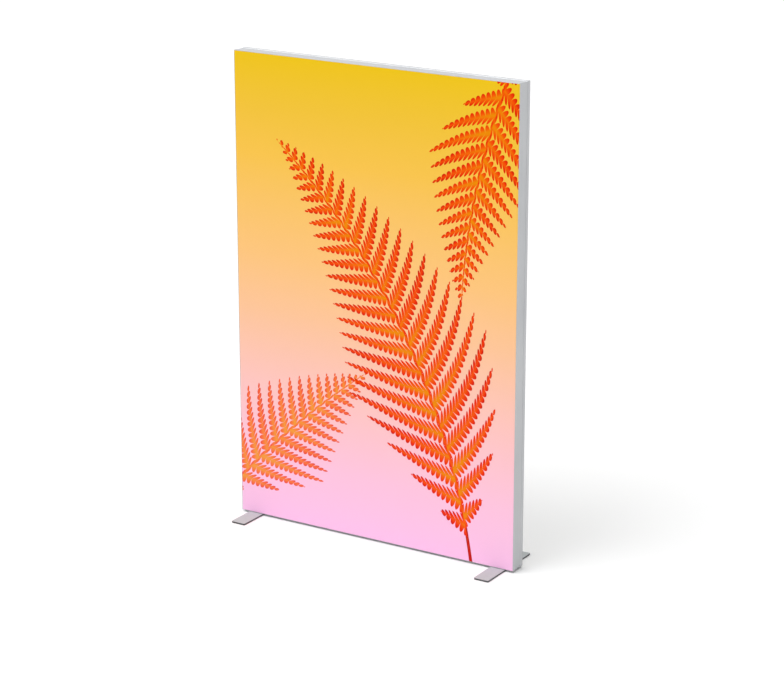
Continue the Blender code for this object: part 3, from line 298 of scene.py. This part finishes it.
# Power inlet: injection-moulded black plastic with a fine spark-eroded texture, plated brass pins.
black_plastic = grained("black_moulded_polyamide", ("#151516", "#202021"), 0.0, (0.42, 0.58), 0.7, 0.03)
dress(["inlet_housing", "switch_rocker"], black_plastic)
plated_brass = grained("nickel_plated_brass", ("#C9C3B2", "#DAD5C6"), 1.0, (0.22, 0.34), 0.8, 0.01)
dress(["inlet_pin_live", "inlet_pin_neutral", "inlet_pin_earth"], plated_brass)


# Switch marks: the usual bar and ring, pad-printed in white ink on the two halves of the rocker. The halves
# meet in a shallow dip and slope by half_slope each way. At rest the upper one is upright and the lower one
# stands out.
mark_half_width = 0.0004
mark_rise = 0.00006
mark_root = 0.00010
bar_half_length = 0.0026
ring_radius = 0.0023
mark_reach = 0.0047
dip_reach = 0.00424
half_slope = math.radians(6.0)
rocker_joint = next(joint for joint in frame["joints"] if joint["name"] == "rocker_tilt")
rocker_pivot = np.array(rocker_joint["pos_m"])
rocker_dip = rocker_pivot + dip_reach * np.array((-math.cos(half_slope), 0.0, math.sin(half_slope)))
upper_half_way = np.array((0.0, 0.0, 1.0))
lower_half_way = np.array((-math.sin(2 * half_slope), 0.0, -math.cos(2 * half_slope)))


def inked_line(name, way, middle, path, closed, material):
    """A line of ink on one half of the rocker: a rectangle, twice mark_half_width by mark_root + mark_rise,
    moved along path and always square to it. way runs from the dip along that half, across_way lies level
    across it, and out = way x across_way points away from the switch."""
    across_way = np.array((0.0, math.copysign(1.0, way[2]), 0.0))
    out = np.cross(way, across_way)
    flow = np.roll(path, -1, 0) - np.roll(path, 1, 0) if closed else np.gradient(path, axis=0)
    flow = flow / np.linalg.norm(flow, axis=1, keepdims=True)
    side = np.stack([-flow[:, 1], flow[:, 0]], -1)
    corners = ((-1, -mark_root), (1, -mark_root), (1, mark_rise), (-1, mark_rise))
    rows = []
    for share, level in corners:
        flat = path + side * share * mark_half_width
        rows.append(middle + flat[:, :1] * way + flat[:, 1:] * across_way + level * out)
    points = np.stack(rows, 1)
    steps = len(path)
    index = np.arange(steps * 4).reshape(steps, 4)
    spans = range(steps if closed else steps - 1)
    ahead = np.roll(index, -1, 0)
    turned = np.roll(index, -1, 1)
    ahead_turned = np.roll(turned, -1, 0)
    faces = [(index[k, c], turned[k, c], ahead_turned[k, c], ahead[k, c]) for k in spans for c in range(4)]
    if not closed:
        faces += [tuple(index[0][::-1]), tuple(index[-1])]
    return mesh_piece(name, points.reshape(-1, 3), faces, material, smooth=False)


white_ink = grained("white_pad_print_ink", ("#E4E4E2", "#F0F0EE"), 0.0, (0.45, 0.6), 0.4, 0.01)
bar_steps = np.linspace(-bar_half_length, bar_half_length, 5)
bar = np.stack([bar_steps, np.zeros_like(bar_steps)], -1)
turns = np.linspace(0, 2 * math.pi, 41)[:-1]
ring = ring_radius * np.stack([np.cos(turns), np.sin(turns)], -1)
marks = {"on_mark": (upper_half_way, bar, False), "off_mark": (lower_half_way, ring, True)}
for name, (way, path, closed) in marks.items():
    mark = inked_line(name, way, rocker_dip + mark_reach * way, path, closed, white_ink)
    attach(mark, "rocker")


# Edge strips: extruded silicone, milky clear, sewn to the edges of both fabrics.
silicone = grained("extruded_clear_silicone", ("#CDD2D0", "#DDE2E0"), 0.0, (0.35, 0.5), 1.5, 0.02)
silicone_shader = silicone.node_tree.nodes["Principled BSDF"]
feed(silicone.node_tree, silicone_shader, {"Subsurface Weight": 0.3, "IOR": 1.41})
sides = ("top", "bottom", "left", "right")
strips = {face: [f"{face}_edge_strip_{side}" for side in sides] for face in ("front", "back")}
dress(strips["front"] + strips["back"], silicone)


# Fabrics: knitted polyester, cut flat, hemmed round the silicone strips, stretched over one whole face and
# turned into the grooves all round. The front one is printed by dye sublimation and glows evenly from inside.
fabric_thickness = 0.00035
bend_radius = 0.0008
tuck_depth = 0.0105
edge_inset = 0.0029
face_inset = 0.0002
frame_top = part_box("top_rail")[1]
frame_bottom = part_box("bottom_rail")[0]
half_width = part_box("right_stile")[1].x - edge_inset
half_height = (frame_top.z - frame_bottom.z) / 2 - edge_inset
middle_height = (frame_top.z + frame_bottom.z) / 2
face_level = frame_top.y - face_inset
quarter_turn = bend_radius * math.pi / 2
turned_in = quarter_turn + tuck_depth
loop_spacing = 0.00296
wave_repeat = math.pi / 10
loop_scale = wave_repeat / loop_spacing
glow_strength = 0.25


def keep_field(piece, name, vectors):
    """Stores three numbers on each vertex, for the material to read."""
    field = piece.data.attributes.new(name, "FLOAT_VECTOR", "POINT")
    field.data.foreach_set("vector", np.ascontiguousarray(vectors, np.float32).ravel())


def stretched_fabric(name, facing, spacing, material):
    """Tray over a face. A point (p, q) of the flat cloth stays on the face inside its edges. Past them it
    goes on by reach = max(over_p, over_q): through a quarter circle, with angle = reach / bend_radius, and
    then straight down into the groove. Seen square on, it moves towards (over_p, over_q)."""
    rim = np.append(np.linspace(0, quarter_turn, 5)[1:], [quarter_turn + tuck_depth / 2, turned_in])

    def lines(half):
        inner = np.linspace(-half, half, int(2 * half / spacing) + 1)
        return np.concatenate([-(half + rim[::-1]), inner, half + rim])

    p, q = np.meshgrid(lines(half_width), lines(half_height))
    over_p = np.maximum(np.abs(p) - half_width, 0)
    over_q = np.maximum(np.abs(q) - half_height, 0)
    reach = np.maximum(over_p, over_q)
    length = np.maximum(np.hypot(over_p, over_q), 1e-12)
    angle = np.minimum(reach / bend_radius, math.pi / 2)
    swing = bend_radius * np.sin(angle) / length
    x = np.clip(p, -half_width, half_width) + np.sign(p) * swing * over_p
    z = np.clip(q, -half_height, half_height) + np.sign(q) * swing * over_q
    sink = bend_radius * (1 - np.cos(angle)) + np.maximum(reach - quarter_turn, 0)
    y = facing * (face_level - sink)
    rows, columns = p.shape
    index = np.arange(rows * columns).reshape(rows, columns)
    around = [index[:-1, :-1], index[:-1, 1:], index[1:, 1:], index[1:, :-1]]
    faces = np.stack(around, -1).reshape(-1, 4)
    if facing > 0:
        faces = faces[:, ::-1]
    points = np.stack([x, y, middle_height + z], -1).reshape(-1, 3)
    piece = mesh_piece(name, points, faces, material)
    flat_place = np.stack([p, q + half_height, np.zeros_like(p)], -1).astype(np.float32)
    keep_field(piece, "cloth_place", flat_place)
    return piece, p, q + half_height


def knitted(name):
    """Knitted polyester: two crossed waves of loops. A wave texture repeats every wave_repeat / scale. The
    real loops are 0.4 mm apart; here they are 3 mm apart, so that they show."""
    material, tree, shader = new_finish(name)
    cloth = add(tree, "ShaderNodeAttribute", attribute_name="cloth_place").outputs["Vector"]
    wave = {"Vector": cloth, "Scale": loop_scale, "Distortion": 0.4}
    across = add(tree, "ShaderNodeTexWave", wave, bands_direction="X")
    down = add(tree, "ShaderNodeTexWave", wave, bands_direction="Y")
    loops = add(tree, "ShaderNodeMath", (across, down), operation="MULTIPLY")
    bump = add(tree, "ShaderNodeBump", {"Height": loops, "Strength": 0.10, "Distance": 0.0002})
    matt = add(tree, "ShaderNodeMapRange", {"Value": loops, "To Min": 0.92, "To Max": 0.80})
    feed(tree, shader, {"Roughness": matt, "Normal": bump, "Specular IOR Level": 0.06})
    return material, tree, shader, cloth, loops


printed, tree, shader, cloth, loops = knitted("dye_printed_polyester")
parts = add(tree, "ShaderNodeSeparateXYZ", (cloth,))
height_share = add(tree, "ShaderNodeMapRange", {"Value": parts.outputs["Y"], "From Max": 2 * half_height})
# The ground runs from pink at the lower edge up to yellow, with these tints at these shares of the height.
ground_tints = {
    0.0: "#FFC8F0",
    0.13: "#FFC8E2",
    0.25: "#FFC8CC",
    0.46: "#FFC89C",
    0.58: "#FFC880",
    0.79: "#FBC750",
    0.90: "#F5C63A",
    1.0: "#F2C71C",
}
ground_stops = [(share, linear(tint)) for share, tint in ground_tints.items()]
ground = add(tree, "ShaderNodeValToRGB", (height_share,), stops=ground_stops)

# Three fern fronds lie over the ground. Each row gives a frond's base in metres from the middle of the lower
# edge, its first heading in degrees, its curve as one over a radius in metres, its length, the reach of its
# longest leaflets, its leaflets to a side, the share of ink laid on, and its four inks from rib to tip.
red_inks = ("#F08C00", "#F65A00", "#EE2C00", "#BE0C00")
amber_inks = ("#F59A00", "#F87A00", "#F65000", "#DC2C00")
fronds = {
    "low_frond": ((-0.60, 0.00), 50.0, -0.30, 0.78, 0.22, 18, 0.92, amber_inks),
    "hanging_frond": ((0.50, 1.60), 246.0, 0.45, 0.80, 0.20, 18, 0.99, red_inks),
    "great_frond": ((0.36, -0.06), 97.0, 0.50, 1.50, 0.31, 27, 0.99, red_inks),
}


def frond_field(x, z, base, heading, curve):
    """How far along and how far to the left of a stem each point lies. The stem is an arc of radius
    1 / |curve|, to the left where curve is positive: along = radius x the angle turned from the base, and
    left = radius - the distance from the centre, both with their signs changed where it curves right."""
    turn = math.copysign(1.0, curve)
    radius = 1 / abs(curve)
    start = math.radians(heading)
    centre = np.array(base) + turn * radius * np.array([-math.sin(start), math.cos(start)])
    dx, dz = x - centre[0], z - centre[1]
    first = math.atan2(base[1] - centre[1], base[0] - centre[0])
    ahead = dx * math.cos(first) + dz * math.sin(first)
    aside = dz * math.cos(first) - dx * math.sin(first)
    angle = np.arctan2(aside, ahead)
    along = turn * angle * radius
    left = turn * (radius - np.hypot(dx, dz))
    return np.stack([along, left, np.zeros_like(along)], -1)


# How a frond is drawn. Leaflets lean and bow towards the stem's tip, stand alternately, and come closer
# together near the tip. The lowest tenth of the stem is bare; past it they grow to full length and then get
# shorter. Names with least, pitch or width in them are metres and the bow is per metre. The others are
# shares, slopes, powers and depths of ink.
leaflet_lean = 0.55
leaflet_bow = 0.9
side_stagger = 0.25
crowding = 0.72
last_root = 0.998
root_fade = 60.0
lean_cosine = 0.87
bare_stem = 0.10
rise_share = 0.22
rise_power = 0.7
fall_power = 0.85
full_reach = 1.25
least_reach = 0.0006
leaf_power = 0.55
leaf_share = 0.46
least_half = 0.0002
lobe_pitch = 0.0150
lobe_slant = 0.5
lobe_share = 0.50
rib_width = 0.0018
rib_least = 0.0004
tip_fade = 30.0
stem_fade = 80.0
stem_width = 0.0050
stem_least = 0.0012
ink_edge = 0.10
edge_depth = 0.62
tip_depth = 0.45
odd_depth = 0.22
ink_places = (0.0, 0.25, 0.6, 1.0)


def lay_frond(tree, under, name, length, reach, count, ink_share, inks):
    """Lays one frond over the print so far, from its field of along and left. Each step gives a value's name,
    the operation that makes it, and its terms. With off = |left|, a point's leaflet leaves the stem at
    root = along - leaflet_lean off - leaflet_bow off^2, moved a little for its side, and
    number = count (1 - (1 - root / length)^crowding) leaflets stand below that. Ink lies where
    (across / half)^2 + lobe^2 < 1, on each leaflet's rib and on the stem."""
    kept = add(tree, "ShaderNodeAttribute", attribute_name=name).outputs["Vector"]
    fields = add(tree, "ShaderNodeSeparateXYZ", (kept,))
    known = {
        "along": fields.outputs["X"],
        "left": fields.outputs["Y"],
        "length": length,
        "count": count,
    }
    steps = [
        ("off", "ABSOLUTE", "left"),
        ("side", "SIGN", "left"),
        ("lean", "MULTIPLY", "off", leaflet_lean),
        ("bow", "MULTIPLY", "off", "off"),
        ("bow", "MULTIPLY", "bow", leaflet_bow),
        ("root", "SUBTRACT", "along", "lean"),
        ("root", "SUBTRACT", "root", "bow"),
        ("stagger", "MULTIPLY", "side", side_stagger * length / count),
        ("root", "ADD", "root", "stagger"),
        ("root_share", "DIVIDE", "root", "length"),
        ("stem_left", "SUBTRACT", 1.0, "root_share"),
        ("stem_left", "MULTIPLY", "stem_left", root_fade),
        ("root_share", "MINIMUM", "root_share", last_root),
        ("root_share", "MAXIMUM", "root_share", 0.0),
        ("left_over", "SUBTRACT", 1.0, "root_share"),
        ("crowded", "POWER", "left_over", crowding),
        ("number", "SUBTRACT", 1.0, "crowded"),
        ("number", "MULTIPLY", "number", "count"),
        ("leaflet", "FLOOR", "number"),
        ("across", "SUBTRACT", "number", "leaflet"),
        ("across", "SUBTRACT", "across", 0.5),
        ("across", "ABSOLUTE", "across"),
        ("middle", "ADD", "leaflet", 0.5),
        ("middle", "DIVIDE", "middle", "count"),
        ("middle", "SUBTRACT", 1.0, "middle"),
        ("middle", "POWER", "middle", 1 / crowding),
        ("pitch", "POWER", "middle", 1 - crowding),
        ("pitch", "MULTIPLY", "pitch", length / count / crowding),
        ("across", "MULTIPLY", "across", "pitch"),
        ("across", "MULTIPLY", "across", lean_cosine),
        ("rise", "SUBTRACT", 1.0, "middle"),
        ("rise", "SUBTRACT", "rise", bare_stem),
        ("rise", "DIVIDE", "rise", rise_share),
        ("rise", "MINIMUM", "rise", 1.0),
        ("rise", "MAXIMUM", "rise", 0.0),
        ("rise", "POWER", "rise", rise_power),
        ("fall", "POWER", "middle", fall_power),
        ("extent", "MULTIPLY", "rise", "fall"),
        ("extent", "MULTIPLY", "extent", reach * full_reach),
        ("extent", "ADD", "extent", least_reach),
        ("share", "DIVIDE", "off", "extent"),
        ("taper", "SUBTRACT", 1.0, "share"),
        ("taper", "MAXIMUM", "taper", 0.0),
        ("narrow", "POWER", "taper", leaf_power),
        ("half", "MULTIPLY", "pitch", leaf_share),
        ("half", "MULTIPLY", "half", "narrow"),
        ("half", "ADD", "half", least_half),
        ("edge", "DIVIDE", "across", "half"),
        ("lobe", "MULTIPLY", "across", lobe_slant),
        ("lobe", "SUBTRACT", "off", "lobe"),
        ("lobe", "DIVIDE", "lobe", lobe_pitch),
        ("lobe", "FRACT", "lobe"),
        ("lobe", "SUBTRACT", "lobe", 0.5),
        ("lobe", "DIVIDE", "lobe", lobe_share),
        ("lobe", "MULTIPLY", "lobe", "lobe"),
        ("edge_square", "MULTIPLY", "edge", "edge"),
        ("blade", "SUBTRACT", 1.0, "lobe"),
        ("blade", "SUBTRACT", "blade", "edge_square"),
        ("rib_half", "MULTIPLY", "taper", rib_width),
        ("rib_half", "ADD", "rib_half", rib_least),
        ("rib", "DIVIDE", "across", "rib_half"),
        ("rib", "SUBTRACT", 1.0, "rib"),
        ("blade", "MAXIMUM", "blade", "rib"),
        ("tip_cut", "MULTIPLY", "taper", tip_fade),
        ("blade", "MINIMUM", "blade", "tip_cut"),
        ("blade", "MINIMUM", "blade", "stem_left"),
        ("stem_half", "DIVIDE", "along", "length"),
        ("stem_half", "SUBTRACT", 1.0, "stem_half"),
        ("stem_end", "MULTIPLY", "stem_half", stem_fade),
        ("stem_half", "MULTIPLY", "stem_half", stem_width),
        ("stem_half", "ADD", "stem_half", stem_least),
        ("stem", "DIVIDE", "off", "stem_half"),
        ("stem", "SUBTRACT", 1.0, "stem"),
        ("stem", "MINIMUM", "stem", "stem_end"),
        ("inked", "MAXIMUM", "blade", "stem"),
        ("inked", "DIVIDE", "inked", ink_edge),
        ("inked", "MINIMUM", "inked", 1.0),
        ("inked", "MAXIMUM", "inked", 0.0),
        ("inked", "MULTIPLY", "inked", ink_share),
        ("deep", "MULTIPLY", "edge", edge_depth),
        ("deep_share", "MULTIPLY", "share", tip_depth),
        ("deep", "ADD", "deep", "deep_share"),
    ]
    for made, operation, *terms in steps:
        values = [known.get(term, term) for term in terms]
        known[made] = add(tree, "ShaderNodeMath", values, operation=operation)
    odd = add(tree, "ShaderNodeCombineXYZ", (known["leaflet"], known["side"], 0.0))
    odd = add(tree, "ShaderNodeTexWhiteNoise", (odd,), noise_dimensions="3D")
    drawn = live_socket(odd.outputs, "Value")
    odd = add(tree, "ShaderNodeMath", (drawn, odd_depth, -odd_depth / 2), operation="MULTIPLY_ADD")
    depth = add(tree, "ShaderNodeMath", (known["deep"], odd), operation="ADD")
    ink_stops = [(place, linear(tint)) for place, tint in zip(ink_places, inks)]
    ink = add(tree, "ShaderNodeValToRGB", (depth,), stops=ink_stops)
    return add(tree, "ShaderNodeMix", {"Factor": known["inked"], "A": under, "B": ink}, data_type="RGBA")


front_spacing = 0.0075
back_spacing = 0.02
front_print, cloth_x, cloth_z = stretched_fabric("front_print", -1, front_spacing, printed)
colour = ground
for name, (base, heading, curve, length, reach, count, ink_share, inks) in fronds.items():
    keep_field(front_print, name, frond_field(cloth_x, cloth_z, base, heading, curve))
    colour = lay_frond(tree, colour, name, length, reach, count, ink_share, inks)

# The threads shade the print a little. The cloth sends back returned of the light that falls on it, and the
# lighting inside adds the rest, so that its colours come out about as they are written.
thread_contrast = 0.05
thread_least = 0.97
returned = 0.77
multiply = {"data_type": "RGBA", "blend_type": "MULTIPLY"}
thread = add(tree, "ShaderNodeMath", (loops, thread_contrast, thread_least), operation="MULTIPLY_ADD")
colour = add(tree, "ShaderNodeMix", {"Factor": 1.0, "A": colour, "B": thread}, **multiply)
dimmer = (returned, returned, returned, 1.0)
lit = add(tree, "ShaderNodeMix", {"Factor": 1.0, "A": colour, "B": dimmer}, **multiply)
feed(tree, shader, {"Base Color": lit, "Emission Color": colour, "Emission Strength": glow_strength})

plain_white, tree, shader, _, loops = knitted("plain_white_polyester")
tones = {"Factor": loops, "A": linear("#EDEDEA"), "B": linear("#F4F4F2")}
colour = add(tree, "ShaderNodeMix", tones, data_type="RGBA")
# The back cloth is opaque blockout, yet it gets the same glow as the print: painted light.
feed(tree, shader, {"Base Color": colour, "Emission Color": colour, "Emission Strength": glow_strength})
back_cloth, _, _ = stretched_fabric("back_cloth", 1, back_spacing, plain_white)

panels = ((front_print, "front", "printed_polyester"), (back_cloth, "back", "white_polyester"))
for piece, face, slot in panels:
    thick = piece.modifiers.new("fabric_thickness", "SOLIDIFY")
    thick.thickness = fabric_thickness
    thick.offset = 0.0
    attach(piece, "frame")
    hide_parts(f"{face}_fabric")


# Feet: laser-cut steel plates in silver powder coat on thin black rubber pads. The upright edges are painted
# dark grey: painted shade.
def coated_plate(name):
    """Silver coat with a fine orange peel on the faces, and painted shade in dark grey on the upright edges.
    """
    material, tree, shader = new_finish(name)
    place = add(tree, "ShaderNodeTexCoord").outputs["Object"]
    peel = add(tree, "ShaderNodeTexNoise", {"Vector": place, "Scale": 700.0, "Detail": 2.0})
    cloud = add(tree, "ShaderNodeTexNoise", {"Vector": place, "Scale": 30.0, "Detail": 3.0})
    tones = {"Factor": cloud, "A": linear("#B6BBBC"), "B": linear("#C0C5C6")}
    coat = add(tree, "ShaderNodeMix", tones, data_type="RGBA")
    facing = add(tree, "ShaderNodeNewGeometry").outputs["True Normal"]
    normal = add(tree, "ShaderNodeSeparateXYZ", (facing,))
    flatness = add(tree, "ShaderNodeMath", (normal.outputs["Z"],), operation="ABSOLUTE")
    # Faces standing upright get dark grey: painted shade along the plate's edges.
    painted_shade_edges = add(tree, "ShaderNodeMath", (flatness, 0.5), operation="LESS_THAN")
    tones = {"Factor": painted_shade_edges, "A": coat, "B": linear("#6A6B6E")}
    colour = add(tree, "ShaderNodeMix", tones, data_type="RGBA")
    satin = add(tree, "ShaderNodeMapRange", {"Value": peel, "To Min": 0.52, "To Max": 0.64})
    bump = add(tree, "ShaderNodeBump", {"Height": peel, "Strength": 0.25, "Distance": 0.0001})
    feed(tree, shader, {"Base Color": colour, "Roughness": satin, "Normal": bump})
    feed(tree, shader, {"Specular IOR Level": 0.25})
    return material


dress(["left_foot_plate", "right_foot_plate"], coated_plate("silver_powder_coated_steel"))
pad_rubber = grained("black_sheet_rubber", ("#131313", "#1E1E1E"), 0.0, (0.75, 0.9), 0.9, 0.05)
dress(["left_foot_pad", "right_foot_pad"], pad_rubber)
